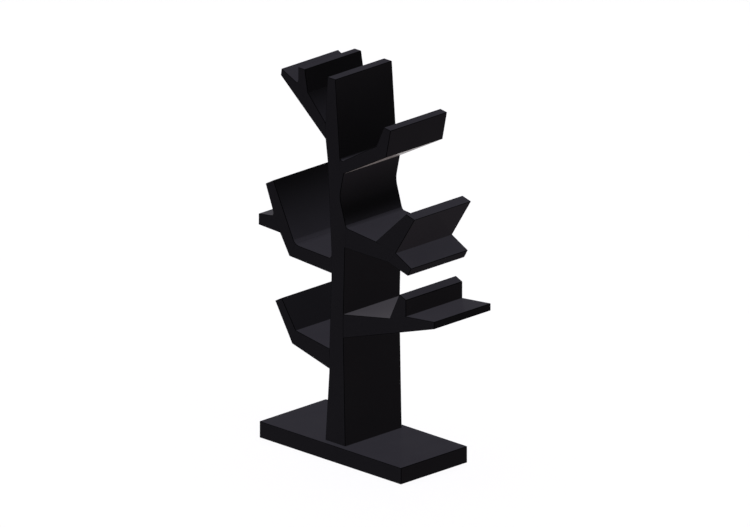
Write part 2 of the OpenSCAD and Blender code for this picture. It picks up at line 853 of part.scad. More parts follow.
// A cam: a disc with a bore for the bolt's head from the trunk's side, and a cross slot below
module cam_locks() {
    head_end = cam_head_l / 2 + fit_gap;
    color(zinc)
        for (s = seats)
            placed(s[0], s[1] + [cam_reach, s[3]], dowel_y * cam_y_shares)
                difference() {
                    cylinder(h = cam_h, d = cam_d, center = true);
                    translate([s[0] * head_end, 0, 0])
                        pointing_out(-s[0])
                            cylinder(h = cam_d, d = cam_head_d + 2 * fit_gap);
                    for (turn = [0, 90])
                        rotate([0, 0, turn])
                            translate([-cam_d / 4, -slot_w / 2, -cam_h / 2 - over])
                                cube([cam_d / 2, slot_w, slot_deep + over]);
                }
}

// A divider screw: head in the arm, shank up into the divider, and a cross slot in the head
module divider_screws() {
    color(zinc)
        for (j = divider_joints)
            placed(j[0], divider_mid(j) - [0, screw_grip], dowel_y * screw_y_shares)
                difference() {
                    union() {
                        cylinder(h = screw_l, d = screw_d);
                        translate([0, 0, -screw_head_t])
                            cylinder(h = screw_head_t, d = screw_head_d);
                    }
                    for (turn = [0, 90])
                        rotate([0, 0, turn])
                            translate([-screw_head_d / 4, -slot_w / 2, -screw_head_t - over])
                                cube([screw_head_d / 2, slot_w, slot_deep + over]);
                }
}

module screw_plugs() {
    color(lacquer)
        for (j = divider_joints)
            placed(j[0], [divider_mid(j).x, plug_up(j)], dowel_y * screw_y_shares)
                cylinder(h = plug_l, d = screw_head_d + 2 * loose_gap - 2 * fit_gap);
}

// A base bolt: a cap head with a hexagon socket, up through the base into its insert
module base_bolts() {
    color(zinc)
        for (p = bolt_places)
            translate([p.x, p.y, pad_t + bolt_sink - washer_t])
                difference() {
                    union() {
                        cylinder(h = bolt_l, d = bolt_d);
                        translate([0, 0, -bolt_head_h])
                            cylinder(h = bolt_head_h, d = bolt_head_d);
                    }
                    translate([0, 0, -bolt_head_h - over])
                        cylinder(h = bolt_head_h / 2 + over, d = bolt_socket_w / cos(30), $fn = 6);
                }
}

module base_washers() {
    color(zinc)
        for (p = bolt_places)
            translate([p.x, p.y, pad_t + bolt_sink - washer_t])
                difference() {
                    cylinder(h = washer_t, d = washer_d);
                    translate([0, 0, -over])
                        cylinder(h = washer_t + 2 * over, d = bolt_d + 2 * fit_gap);
                }
}

module trunk_inserts() {
    color(zinc)
        for (p = bolt_places)
            translate([p.x, p.y, foot_z])
                difference() {
                    cylinder(h = insert_l, d = insert_d);
                    translate([0, 0, -over])
                        cylinder(h = insert_l + 2 * over, d = bolt_d + 2 * fit_gap);
                }
}

module floor_pads() {
    color(felt)
        for (p = pad_places)
            translate([p.x, p.y, 0])
                cylinder(h = pad_t, d = pad_d);
}

base_slab();
trunk();
lower_left_arm();
lower_left_side();
lower_right_arm();
lower_right_divider();
middle_left_arm();
middle_left_side();
middle_left_ledge();
middle_right_arm();
middle_right_side();
middle_right_ledge();
upper_right_arm();
upper_right_side();
upper_left_arm();
upper_left_divider();
arm_dowels();
side_dowels();
divider_dowels();
base_dowels();
cam_bolts();
cam_locks();
divider_screws();
screw_plugs();
base_bolts();
base_washers();
trunk_inserts();
floor_pads();
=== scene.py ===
import math

import bmesh
import bpy
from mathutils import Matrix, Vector, noise
from mathutils.bvhtree import BVHTree


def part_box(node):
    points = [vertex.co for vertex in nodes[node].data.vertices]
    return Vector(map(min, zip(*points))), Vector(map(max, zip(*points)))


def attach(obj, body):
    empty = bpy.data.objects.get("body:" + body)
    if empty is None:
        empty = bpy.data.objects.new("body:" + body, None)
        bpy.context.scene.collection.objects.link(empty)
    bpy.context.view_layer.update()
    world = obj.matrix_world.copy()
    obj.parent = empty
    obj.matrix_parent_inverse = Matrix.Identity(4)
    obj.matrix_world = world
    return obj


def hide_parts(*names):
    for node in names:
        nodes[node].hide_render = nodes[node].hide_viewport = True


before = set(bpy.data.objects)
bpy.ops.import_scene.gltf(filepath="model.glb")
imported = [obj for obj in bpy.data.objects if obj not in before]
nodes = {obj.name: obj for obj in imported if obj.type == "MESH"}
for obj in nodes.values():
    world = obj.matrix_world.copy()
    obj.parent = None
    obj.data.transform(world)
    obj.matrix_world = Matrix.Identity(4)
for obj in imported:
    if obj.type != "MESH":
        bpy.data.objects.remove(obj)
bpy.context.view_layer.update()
print("frame loaded,", len(nodes), "nodes")


# The photograph is a parallel view, from 45 degrees to the right of the front and 19.5 degrees up
camera = {
    "toCamera": (1, -1, 0.5),   # from the tree to the camera
    "right": (1, 1, 0),         # the picture's right
    "aimRight": 0.0348,         # middle of the picture, from the floor under the tree
    "aimUp": 0.5605,
    "pictureWidth": 2.2466,
    "distance": 6,
    "farthest": 60,
}


def makeCamera():
    back = Vector(camera["toCamera"]).normalized()
    right = Vector(camera["right"]).normalized()
    up = back.cross(right)
    eye = bpy.data.objects.new("camera", bpy.data.cameras.new("camera"))
    eye.data.type = "ORTHO"
    eye.data.ortho_scale = camera["pictureWidth"]
    eye.data.clip_end = camera["farthest"]
    aim = right * camera["aimRight"] + up * camera["aimUp"]
    eye.location = aim + back * camera["distance"]
    eye.rotation_mode = "QUATERNION"
    eye.rotation_quaternion = (-back).to_track_quat("-Z", "Y")
    bpy.context.scene.collection.objects.link(eye)
    bpy.context.scene.camera = eye


makeCamera()
print("camera placed")


# Adds a node, sets its properties, and gives each input a value or a link
def addNode(tree, kind, settings=None, inputs=None):
    node = tree.nodes.new(kind)
    for name, value in (settings or {}).items():
        setattr(node, name, value)
    for name, value in (inputs or {}).items():
        if isinstance(value, bpy.types.NodeSocket):
            tree.links.new(value, node.inputs[name])
        else:
            node.inputs[name].default_value = value
    return node


# The Mix node's own colour sockets are the seventh and eighth in, and the third out
def blendColours(tree, share, first, second):
    mixed = addNode(tree, "ShaderNodeMix", {"data_type": "RGBA"}, {0: share, 6: first, 7: second})
    return mixed.outputs[2]


def startGroup(name, inputs, outputs):
    group = bpy.data.node_groups.new(name, "ShaderNodeTree")
    for label, kind in inputs:
        group.interface.new_socket(label, in_out="INPUT", socket_type="NodeSocket" + kind)
    for label, kind in outputs:
        group.interface.new_socket(label, in_out="OUTPUT", socket_type="NodeSocket" + kind)
    return group, addNode(group, "NodeGroupInput").outputs, addNode(group, "NodeGroupOutput").inputs


def useGroup(tree, name, inputs):
    return addNode(tree, "ShaderNodeGroup", {"node_tree": bpy.data.node_groups[name]}, inputs).outputs


# What the shared shader groups are made with. A spread is the part of the noise that runs from 0 to 1
grain = {
    "mottleSpread": (0.3, 0.7),
    "mottleDetail": 3.0,
    "mottleRoughness": 0.55,
    "peelDetail": 1.0,
    "speckDetail": 2.0,
    "dustSlope": (0.35, 0.95),      # how far up a face looks where dust starts, and where it is whole
    "dustSpread": (0.25, 0.75),
    "dustDetail": 5.0,
    "dustRoughness": 0.6,
    "brushSpread": (0.35, 0.65),
    "brushDetail": 4.0,
}


# Stretches the part of a value that lies between two limits to run from 0 to 1
def spreadOut(tree, value, limits):
    spread = addNode(tree, "ShaderNodeMapRange", {}, {
        "Value": value, "From Min": limits[0], "From Max": limits[1],
    })
    return spread.outputs["Result"]


# Soft noise, for the slow change of tone in lacquer, plastic and felt
def makeMottle():
    group, given, out = startGroup(
        "mottle",
        [("Vector", "Vector"), ("Size", "Float"), ("Color", "Color"), ("Other", "Color")],
        [("Color", "Color"), ("Mask", "Float")],
    )
    broad = addNode(group, "ShaderNodeTexNoise", {}, {
        "Vector": given["Vector"], "Scale": given["Size"],
        "Detail": grain["mottleDetail"], "Roughness": grain["mottleRoughness"],
    })
    mask = spreadOut(group, broad.outputs["Fac"], grain["mottleSpread"])
    tone = blendColours(group, mask, given["Color"], given["Other"])
    group.links.new(tone, out["Color"])
    group.links.new(mask, out["Mask"])


# The height of a sprayed skin: soft peel and, finer, the specks that settle in it. With other sizes it
# is also the skin of moulded plastic and the fibres of felt
def makePeel():
    group, given, out = startGroup(
        "peel",
        [
            ("Vector", "Vector"), ("Peel Size", "Float"),
            ("Speck Size", "Float"), ("Speck Share", "Float"),
        ],
        [("Height", "Float")],
    )
    waves = addNode(group, "ShaderNodeTexNoise", {}, {
        "Vector": given["Vector"], "Scale": given["Peel Size"], "Detail": grain["peelDetail"],
    })
    specks = addNode(group, "ShaderNodeTexNoise", {}, {
        "Vector": given["Vector"], "Scale": given["Speck Size"], "Detail": grain["speckDetail"],
    })
    height = addNode(group, "ShaderNodeMix", {"data_type": "FLOAT"}, {
        0: given["Speck Share"], 2: waves.outputs["Fac"], 3: specks.outputs["Fac"],
    })
    group.links.new(height.outputs[0], out["Height"])


# A mask of the fine dust on faces that look up, patchy and soft
def makeDust():
    group, given, out = startGroup(
        "dust",
        [("Vector", "Vector"), ("Patch Size", "Float"), ("Amount", "Float")],
        [("Mask", "Float")],
    )
    facing = addNode(group, "ShaderNodeSeparateXYZ", {}, {
        "Vector": addNode(group, "ShaderNodeNewGeometry").outputs["Normal"],
    })
    patches = addNode(group, "ShaderNodeTexNoise", {}, {
        "Vector": given["Vector"], "Scale": given["Patch Size"],
        "Detail": grain["dustDetail"], "Roughness": grain["dustRoughness"],
    })
    lying = addNode(group, "ShaderNodeMath", {"operation": "MULTIPLY"}, {
        0: spreadOut(group, facing.outputs["Z"], grain["dustSlope"]),
        1: spreadOut(group, patches.outputs["Fac"], grain["dustSpread"]),
    })
    amount = addNode(group, "ShaderNodeMath", {"operation": "MULTIPLY"}, {
        0: lying.outputs["Value"], 1: given["Amount"],
    })
    group.links.new(amount.outputs["Value"], out["Mask"])


# Noise stretched into fine lines: the tool marks on metal, and the grain of beech
def makeBrushed():
    group, given, out = startGroup(
        "brushed",
        [("Vector", "Vector"), ("Stretch", "Vector"), ("Line Size", "Float")],
        [("Height", "Float"), ("Mask", "Float")],
    )
    drawn = addNode(group, "ShaderNodeVectorMath", {"operation": "MULTIPLY"}, {
        0: given["Vector"], 1: given["Stretch"],
    })
    lines = addNode(group, "ShaderNodeTexNoise", {}, {
        "Vector": drawn.outputs["Vector"], "Scale": given["Line Size"], "Detail": grain["brushDetail"],
    })
    group.links.new(lines.outputs["Fac"], out["Height"])
    group.links.new(spreadOut(group, lines.outputs["Fac"], grain["brushSpread"]), out["Mask"])


makeMottle()
makePeel()
makeDust()
makeBrushed()
print("shader groups made")


def startMaterial(name):
    material = bpy.data.materials.new(name)
    material.use_nodes = True
    tree = material.node_tree
    tree.nodes.clear()
    place = addNode(tree, "ShaderNodeTexCoord").outputs["Object"]
    return material, tree, place


def endMaterial(tree, surface):
    addNode(tree, "ShaderNodeOutputMaterial", {}, {"Surface": surface})


# Satin black lacquer, sprayed on board. On the rounded edges, the arris, it is darker and duller.
# On the faces its colour carries a painted sheen, lighter where a face is seen almost edge on
lacquer = {
    "black": (0.0150, 0.0144, 0.0178, 1),
    "blackOther": (0.0138, 0.0131, 0.0165, 1),
    "arris": (0.0018, 0.0017, 0.0022, 1),
    "arrisOther": (0.0015, 0.0014, 0.0019, 1),
    "dust": (0.045, 0.043, 0.046, 1),
    "dustAmount": 0.04,
    "dustPatch": 14.0,
    "paintedSheen": (0.165, 0.155, 0.158, 1),      # painted sheen: the lighter colour the satin is given where it is seen almost edge on
    "paintedSheenLimits": (0.70, 1.0),
    "paintedSheenPower": 2.3,
    "mottleSize": 5.0,
    "satin": 0.17,
    "satinOther": 0.21,
    "arrisSatin": 0.45,
    "arrisSatinOther": 0.55,
    "reflection": 0.0004,
    "peelSize": 420.0,
    "speckSize": 2600.0,
    "speckShare": 0.25,
    "peelDepth": 0.00002,
}


def makeLacquer(name, first, second, satin, satinOther, hasPaintedSheen):
    material, tree, place = startMaterial(name)
    mottle = useGroup(tree, "mottle", {
        "Vector": place, "Size": lacquer["mottleSize"],
        "Color": lacquer[first], "Other": lacquer[second],
    })
    dust = useGroup(tree, "dust", {
        "Vector": place, "Patch Size": lacquer["dustPatch"], "Amount": lacquer["dustAmount"],
    })
    tone = blendColours(tree, dust["Mask"], mottle["Color"], lacquer["dust"])
    # Painted sheen: the colour is blended towards a light grey where the face is seen almost edge on
    if hasPaintedSheen:
        slant = addNode(tree, "ShaderNodeLayerWeight").outputs["Facing"]
        paintedSheenShare = addNode(tree, "ShaderNodeMath", {"operation": "POWER"}, {
            0: spreadOut(tree, slant, lacquer["paintedSheenLimits"]), 1: lacquer["paintedSheenPower"],
        })
        tone = blendColours(tree, paintedSheenShare.outputs["Value"], tone, lacquer["paintedSheen"])
    gloss = addNode(tree, "ShaderNodeMapRange", {}, {
        "Value": mottle["Mask"], "To Min": lacquer[satin], "To Max": lacquer[satinOther],
    })
    peel = useGroup(tree, "peel", {
        "Vector": place, "Peel Size": lacquer["peelSize"],
        "Speck Size": lacquer["speckSize"], "Speck Share": lacquer["speckShare"],
    })
    bump = addNode(tree, "ShaderNodeBump", {}, {
        "Height": peel["Height"], "Distance": lacquer["peelDepth"],
    })
    skin = addNode(tree, "ShaderNodeBsdfPrincipled", {}, {
        "Base Color": tone, "Roughness": gloss.outputs["Result"],
        "Specular IOR Level": lacquer["reflection"], "Normal": bump.outputs["Normal"],
    })
    endMaterial(tree, skin.outputs["BSDF"])
    return material


satinBlack = makeLacquer("satinBlack", "black", "blackOther", "satin", "satinOther", True)
satinBlackArris = makeLacquer(
    "satinBlackArris", "arris", "arrisOther", "arrisSatin", "arrisSatinOther", False,
)
print("lacquer made")


roundProfile = 0.5      # a bevel with this profile is round

# How the boards' copies are cleaned, and how their edges are finished
boards = {
    "weld": 0.00001,        # vertices nearer than this are one
    "flat": 0.3,            # degrees: faces that differ by less are one
    "arris": 0.0016,        # width of the rounding on an open edge
    "arrisSteps": 3,
    "hairline": 0.00016,    # width of the rounding where two boards meet
    "blunt": 12,            # degrees: an edge that turns by less isn't rounded
    "sharp": 30,            # degrees: a bore's rim, which turns by more, stays crisp
    "touch": 0.0002,        # a neighbour nearer than this closes an edge
    "onEdge": 0.00005,      # and a neighbour's corner nearer than this lies on the edge
    "probes": (0.08, 0.5, 0.92),   # places on an edge where that is tested
    "pieces": {
        "base_slab": "baseSlab",
        "trunk": "trunkBoard",
        "lower_left_arm": "lowerLeftArm",
        "lower_left_side": "lowerLeftSide",
        "lower_right_arm": "lowerRightArm",
        "lower_right_divider": "lowerRightDivider",
        "middle_left_arm": "middleLeftArm",
        "middle_left_side": "middleLeftSide",
        "middle_left_ledge": "middleLeftLedge",
        "middle_right_arm": "middleRightArm",
        "middle_right_side": "middleRightSide",
        "middle_right_ledge": "middleRightLedge",
        "upper_right_arm": "upperRightArm",
        "upper_right_side": "upperRightSide",
        "upper_left_arm": "upperLeftArm",
        "upper_left_divider": "upperLeftDivider",
    },
}


# A merged copy of a board, with its loose triangles joined into whole faces
def wholeBoard(node):
    shape = bmesh.new()
    shape.from_mesh(nodes[node].data)
    bmesh.ops.remove_doubles(shape, verts=shape.verts, dist=boards["weld"])
    bmesh.ops.dissolve_limit(
        shape, angle_limit=math.radians(boards["flat"]), verts=shape.verts, edges=shape.edges,
    )
    return shape


shapes = {node: wholeBoard(node) for node in boards["pieces"]}
trees = {node: BVHTree.FromBMesh(shape) for node, shape in shapes.items()}


def halfDepth(shape):
    return max(v.co.y for v in shape.verts)


def onFace(vert, reach):
    return abs(abs(vert.co.y) - reach) < boards["touch"]


# Edges round the front and back faces, and the corners that run from one to the other
def outlineEdges(shape):
    reach = halfDepth(shape)
    return [e for e in shape.edges if all(onFace(v, reach) for v in e.verts)]


# Splits outline edges where a neighbour's corner lies on them, so that each is all open or all closed
def splitAtNeighbours(node):
    shape = shapes[node]
    corners = {
        tuple(v.co)
        for other, neighbour in shapes.items() if other != node
        for e in outlineEdges(neighbour) for v in e.verts
    }
    for corner in sorted(corners):
        corner = Vector(corner)
        for edge in outlineEdges(shape):
            start = edge.verts[0]
            along = edge.verts[1].co - start.co
            share = (corner - start.co).dot(along) / along.length_squared
            clear = boards["touch"] / along.length
            near = start.co + along * share - corner
            if clear < share < 1 - clear and near.length < boards["onEdge"]:
                bmesh.utils.edge_split(edge, start, share)


def isClosed(edge, node):
    a, b = (v.co for v in edge.verts)
    return any(
        tree.find_nearest(a.lerp(b, share), boards["touch"])[0] is not None
        for share in boards["probes"]
        for other, tree in trees.items() if other != node
    )


# Marks how far each edge is rounded, and keeps the rims of the bores sharp
def markEdges(node):
    shape = shapes[node]
    weight = shape.edges.layers.float.new("bevel_weight_edge")
    counts = {"open": 0, "closed": 0}
    outline = set(outlineEdges(shape))
    for edge in shape.edges:
        turn = math.degrees(edge.calc_face_angle_signed(0))
        if edge in outline and turn > boards["blunt"]:
            closed = isClosed(edge, node)
            edge[weight] = boards["hairline"] / boards["arris"] if closed else 1
            counts["closed" if closed else "open"] += 1
        else:
            edge.smooth = abs(turn) < boards["sharp"]
    for face in shape.faces:
        face.smooth = True
    return counts


# Where the photograph shows faces as one soft curve, or a flat face lighter or darker than its slope
# makes it, the normals lean. A tilt, in degrees, is 0 where a face looks level to the right and 90 where
# it looks up. It is one for the whole face, or runs between stops, each a place along x (0) or z (2) and
# a tilt. A lean holds inside its box, low to high in x and z, for faces whose own tilt is in its range
leans = {
    "lower_left_arm": [
        {"low": (-0.168, 0.346), "high": (-0.024, 0.371), "faces": (75, 88),
         "tilt": 93},
    ],
    "lower_right_arm": [
        {"low": (0.418, 0.519), "high": (0.421, 0.545), "faces": (-6, 6),
         "tilt": 7},
    ],
    "trunk": [
        {"along": 2, "low": (0.000, 0.965), "high": (0.022, 1.210), "faces": (-10, 30),
         "stops": [(0.9666, 14), (1.2090, 3)]},
        {"along": 2, "low": (0.020, 0.755), "high": (0.046, 0.919), "faces": (-30, 60),
         "stops": [(0.7562, 33), (0.7710, 19), (0.7820, 16), (0.9179, -15)]},
    ],
    "middle_right_arm": [
        {"along": 0, "low": (0.043, 0.747), "high": (0.055, 0.758), "faces": (0, 90),
         "stops": [(0.0441, 52), (0.0545, 86)]},
        {"along": 0, "low": (0.056, 0.735), "high": (0.173, 0.749), "faces": (80, 90),
         "stops": [(0.0545, 90), (0.1720, 94)]},
    ],
    "middle_right_side": [
        {"low": (0.299, 0.844), "high": (0.338, 0.857), "faces": (72, 84),
         "tilt": 88},
    ],
    "middle_left_side": [
        {"along": 2, "low": (-0.264, 0.6560), "high": (-0.177, 0.825), "faces": (0, 60),
         "stops": [(0.6564, 49), (0.8237, 22)]},
        {"along": 0, "low": (-0.1785, 0.6450), "high": (-0.168, 0.6575), "faces": (0, 90),
         "stops": [(-0.1780, 62), (-0.1550, 89)]},
    ],
    "middle_left_arm": [
        {"along": 0, "low": (-0.1695, 0.6410), "high": (-0.1545, 0.6465), "faces": (0, 90),
         "stops": [(-0.1780, 62), (-0.1550, 89)]},
    ],
    "upper_left_arm": [
        {"along": 2, "low": (-0.117, 1.060), "high": (-0.040, 1.139), "faces": (38, 52),
         "stops": [(1.0608, 46), (1.1382, 26)]},
        {"low": (-0.229, 1.137), "high": (-0.115, 1.189), "faces": (60, 72),
         "tilt": 85},
    ],
    "middle_right_ledge": [
        {"low": (0.305, 0.659), "high": (0.325, 0.689), "faces": (-40, -20),
         "tilt": -19},
        {"low": (0.250, 0.680), "high": (0.330, 0.730), "faces": (57, 69),
         "tilt": 78},
    ],
    "middle_left_ledge": [
        {"low": (-0.326, 0.700), "high": (-0.270, 0.7115), "faces": (90, 110),
         "tilt": 101},
    ],
    "lower_right_divider": [
        {"low": (0.270, 0.570), "high": (0.302, 0.600), "faces": (57, 70),
         "tilt": 77},
    ],
}


leanLimits = {
    "left": -0.5,       # a normal that points further to the left is kept
    "outOfPlane": 0.1,  # and one that points further to the front or back
}


def leanTilt(lean, place):
    if "tilt" in lean:
        return lean["tilt"]
    spot = place[lean["along"]]
    for (start, first), (end, last) in zip(lean["stops"], lean["stops"][1:]):
        if spot <= end:
            break
    share = min(max((spot - start) / (end - start), 0), 1)
    return first + (last - first) * share


# Keeps a normal, or turns it where a lean runs through its place on a face that looks to the right
def easedNormal(node, place, normal):
    if normal.x < leanLimits["left"] or abs(normal.y) > leanLimits["outOfPlane"]:
        return normal
    own = math.degrees(math.atan2(normal.z, normal.x))
    for lean in leans.get(node, []):
        (left, foot), (right, head) = lean["low"], lean["high"]
        least, most = lean["faces"]
        if left <= place.x <= right and foot <= place.z <= head and least < own < most:
            tilt = math.radians(leanTilt(lean, place))
            return Vector((math.cos(tilt), 0, math.sin(tilt)))
    return normal


# The modifiers' result becomes the board's mesh, held to the board's depth, with its normals eased
def settleBoard(board, node, reach):
    graph = bpy.context.evaluated_depsgraph_get()
    mesh = bpy.data.meshes.new_from_object(board.evaluated_get(graph))
    normals = [corner.vector.copy() for corner in mesh.corner_normals]
    for vert in mesh.vertices:
        vert.co.y = min(max(vert.co.y, -reach), reach)
    mesh.normals_split_custom_set([
        easedNormal(node, mesh.vertices[loop.vertex_index].co, normal)
        for loop, normal in zip(mesh.loops, normals)
    ])
    board.modifiers.clear()
    rough = board.data
    board.data = mesh
    bpy.data.meshes.remove(rough)
    mesh.name = board.name


def finishBoard(node, name):
    counts = markEdges(node)
    reach = halfDepth(shapes[node])
    mesh = bpy.data.meshes.new(name)
    shapes[node].to_mesh(mesh)
    shapes[node].free()
    mesh.materials.append(satinBlack)
    mesh.materials.append(satinBlackArris)
    board = bpy.data.objects.new(name, mesh)
    bpy.context.scene.collection.objects.link(board)
    arris = board.modifiers.new("arris", "BEVEL")
    arris.affect = "EDGES"
    arris.limit_method = "WEIGHT"
    arris.width = boards["arris"]
    arris.segments = boards["arrisSteps"]
    arris.profile = roundProfile
    arris.material = 1      # the second of the board's two lacquers
    arris.use_clamp_overlap = False
    even = board.modifiers.new("even", "WEIGHTED_NORMAL")
    even.keep_sharp = True
    settleBoard(board, node, reach)
    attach(board, "root")
    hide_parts(node)
    print(name, "finished:", counts["open"], "open edges,", counts["closed"], "closed")


for node in boards["pieces"]:
    splitAtNeighbours(node)
for node, name in boards["pieces"].items():
    finishBoard(node, name)


# Beech dowels, with the grain drawn out along X, as the arms' dowels lie
beech = {
    "pale": (0.62, 0.45, 0.28, 1),
    "dark": (0.50, 0.34, 0.20, 1),
    "grainSize": 60.0,
    "stretch": (0.15, 1.0, 1.0),
    "roughness": 0.62,
    "roughnessOther": 0.74,
    "depth": 0.0001,
}


def makeBeech():
    material, tree, place = startMaterial("beechWood")
    streaks = useGroup(tree, "brushed", {
        "Vector": place, "Stretch": beech["stretch"], "Line Size": beech["grainSize"],
    })
    tone = blendColours(tree, streaks["Mask"], beech["pale"], beech["dark"])
    dull = addNode(tree, "ShaderNodeMapRange", {}, {
        "Value": streaks["Mask"], "To Min": beech["roughness"], "To Max": beech["roughnessOther"],
    })
    bump = addNode(tree, "ShaderNodeBump", {}, {"Height": streaks["Height"], "Distance": beech["depth"]})
    wood = addNode(tree, "ShaderNodeBsdfPrincipled", {}, {
        "Base Color": tone, "Roughness": dull.outputs["Result"],
        "Normal": bump.outputs["Normal"],
    })
    endMaterial(tree, wood.outputs["BSDF"])
    return material


# Zinc plated steel and turned brass, with fine tool lines
zinc = {
    "bright": (0.58, 0.59, 0.60, 1),
    "dull": (0.47, 0.48, 0.50, 1),
    "stretch": (1.0, 1.0, 12.0),
    "lineSize": 900.0,
    "roughness": 0.28,
    "roughnessOther": 0.42,
    "depth": 0.00003,
}
brass = {
    "bright": (0.70, 0.54, 0.27, 1),
    "dull": (0.58, 0.43, 0.20, 1),
    "stretch": (1.0, 1.0, 16.0),
    "lineSize": 700.0,
    "roughness": 0.26,
    "roughnessOther": 0.38,
    "depth": 0.00004,
}


def makeMetal(name, metal):
    material, tree, place = startMaterial(name)
    lines = useGroup(tree, "brushed", {
        "Vector": place, "Stretch": metal["stretch"], "Line Size": metal["lineSize"],
    })
    tone = blendColours(tree, lines["Mask"], metal["bright"], metal["dull"])
    shine = addNode(tree, "ShaderNodeMapRange", {}, {
        "Value": lines["Mask"], "To Min": metal["roughness"], "To Max": metal["roughnessOther"],
    })
    bump = addNode(tree, "ShaderNodeBump", {}, {"Height": lines["Height"], "Distance": metal["depth"]})
    skin = addNode(tree, "ShaderNodeBsdfPrincipled", {}, {
        "Base Color": tone, "Roughness": shine.outputs["Result"],
        "Metallic": 1.0, "Normal": bump.outputs["Normal"],
    })
    endMaterial(tree, skin.outputs["BSDF"])
    return material


# Matt black plastic of the plugs that close the screw holes
plastic = {
    "black": (0.016, 0.015, 0.018, 1),
    "other": (0.013, 0.012, 0.015, 1),
    "mottleSize": 90.0,
    "peelSize": 1800.0,
    "speckSize": 5200.0,
    "speckShare": 0.5,
    "depth": 0.00005,
    "roughness": 0.6,
    "reflection": 0.2,
}


def makePlastic():
    material, tree, place = startMaterial("mattPlastic")
    mottle = useGroup(tree, "mottle", {
        "Vector": place, "Size": plastic["mottleSize"],
        "Color": plastic["black"], "Other": plastic["other"],
    })
    skin = useGroup(tree, "peel", {
        "Vector": place, "Peel Size": plastic["peelSize"],
        "Speck Size": plastic["speckSize"], "Speck Share": plastic["speckShare"],
    })
    bump = addNode(tree, "ShaderNodeBump", {}, {"Height": skin["Height"], "Distance": plastic["depth"]})
    shader = addNode(tree, "ShaderNodeBsdfPrincipled", {}, {
        "Base Color": mottle["Color"], "Roughness": plastic["roughness"],
        "Specular IOR Level": plastic["reflection"], "Normal": bump.outputs["Normal"],
    })
    endMaterial(tree, shader.outputs["BSDF"])
    return material


# The fasteners keep their meshes. Each gets its finish, and edges broken by its own width in metres
fasteners = {
    "arm_dowels": ("beechWood", 0.0008),
    "side_dowels": ("beechWood", 0.0008),
    "divider_dowels": ("beechWood", 0.0008),
    "base_dowels": ("beechWood", 0.0012),
    "cam_bolts": ("zincPlate", 0.0002),
    "cam_locks": ("zincPlate", 0.0003),
    "divider_screws": ("zincPlate", 0.0002),
    "base_bolts": ("zincPlate", 0.0005),
    "base_washers": ("zincPlate", 0.0003),
    "trunk_inserts": ("turnedBrass", 0.0003),
    "screw_plugs": ("mattPlastic", 0.0006),
}
brokenEdge = {
    "turn": 40,         # degrees: an edge that turns by less isn't broken
    "steps": 2,
}


def finishFasteners():
    finishes = {
        "beechWood": makeBeech(),
        "zincPlate": makeMetal("zincPlate", zinc),
        "turnedBrass": makeMetal("turnedBrass", brass),
        "mattPlastic": makePlastic(),
    }
    for node, (finish, broken) in fasteners.items():
        piece = nodes[node]
        piece.data.materials.clear()
        piece.data.materials.append(finishes[finish])
        weld = piece.modifiers.new("weld", "WELD")
        weld.merge_threshold = boards["weld"]
        edge = piece.modifiers.new("brokenEdges", "BEVEL")
        edge.limit_method = "ANGLE"
        edge.angle_limit = math.radians(brokenEdge["turn"])
        edge.width = broken
        edge.segments = brokenEdge["steps"]
        edge.profile = roundProfile


finishFasteners()
print("fasteners finished")


# Felt pads under the base: pressed discs with a soft, slightly ragged rim
pads = {
    "places": [(0, 0), (-1, -1), (-1, 1), (1, -1), (1, 1)],     # the middle, and to each corner
    "radius": 0.020,
    "sides": 64,
    "rim": 0.0007,
    "rimSteps": 3,
    "ragged": 0.00035,
    "raggedSize": 400.0,
    "grey": (0.050, 0.050, 0.052, 1),
    "other": (0.036, 0.036, 0.038, 1),
    "fleck": 900.0,
    "fibre": 1400.0,
    "fibreFine": 4200.0,
    "fibreShare": 0.5,
    "depth": 0.0004,
    "roughness": 0.95,
    "reflection": 0.1,
    "fuzz": 0.15,
}


def makeFelt():
    material, tree, place = startMaterial("pressedFelt")
    mottle = useGroup(tree, "mottle", {
        "Vector": place, "Size": pads["fleck"], "Color": pads["grey"], "Other": pads["other"],
    })
    fibres = useGroup(tree, "peel", {
        "Vector": place, "Peel Size": pads["fibre"],
        "Speck Size": pads["fibreFine"], "Speck Share": pads["fibreShare"],
    })
    bump = addNode(tree, "ShaderNodeBump", {}, {"Height": fibres["Height"], "Distance": pads["depth"]})
    wool = addNode(tree, "ShaderNodeBsdfPrincipled", {}, {
        "Base Color": mottle["Color"], "Roughness": pads["roughness"],
        "Specular IOR Level": pads["reflection"], "Sheen Weight": pads["fuzz"],
        "Normal": bump.outputs["Normal"],
    })
    endMaterial(tree, wool.outputs["BSDF"])
    return material


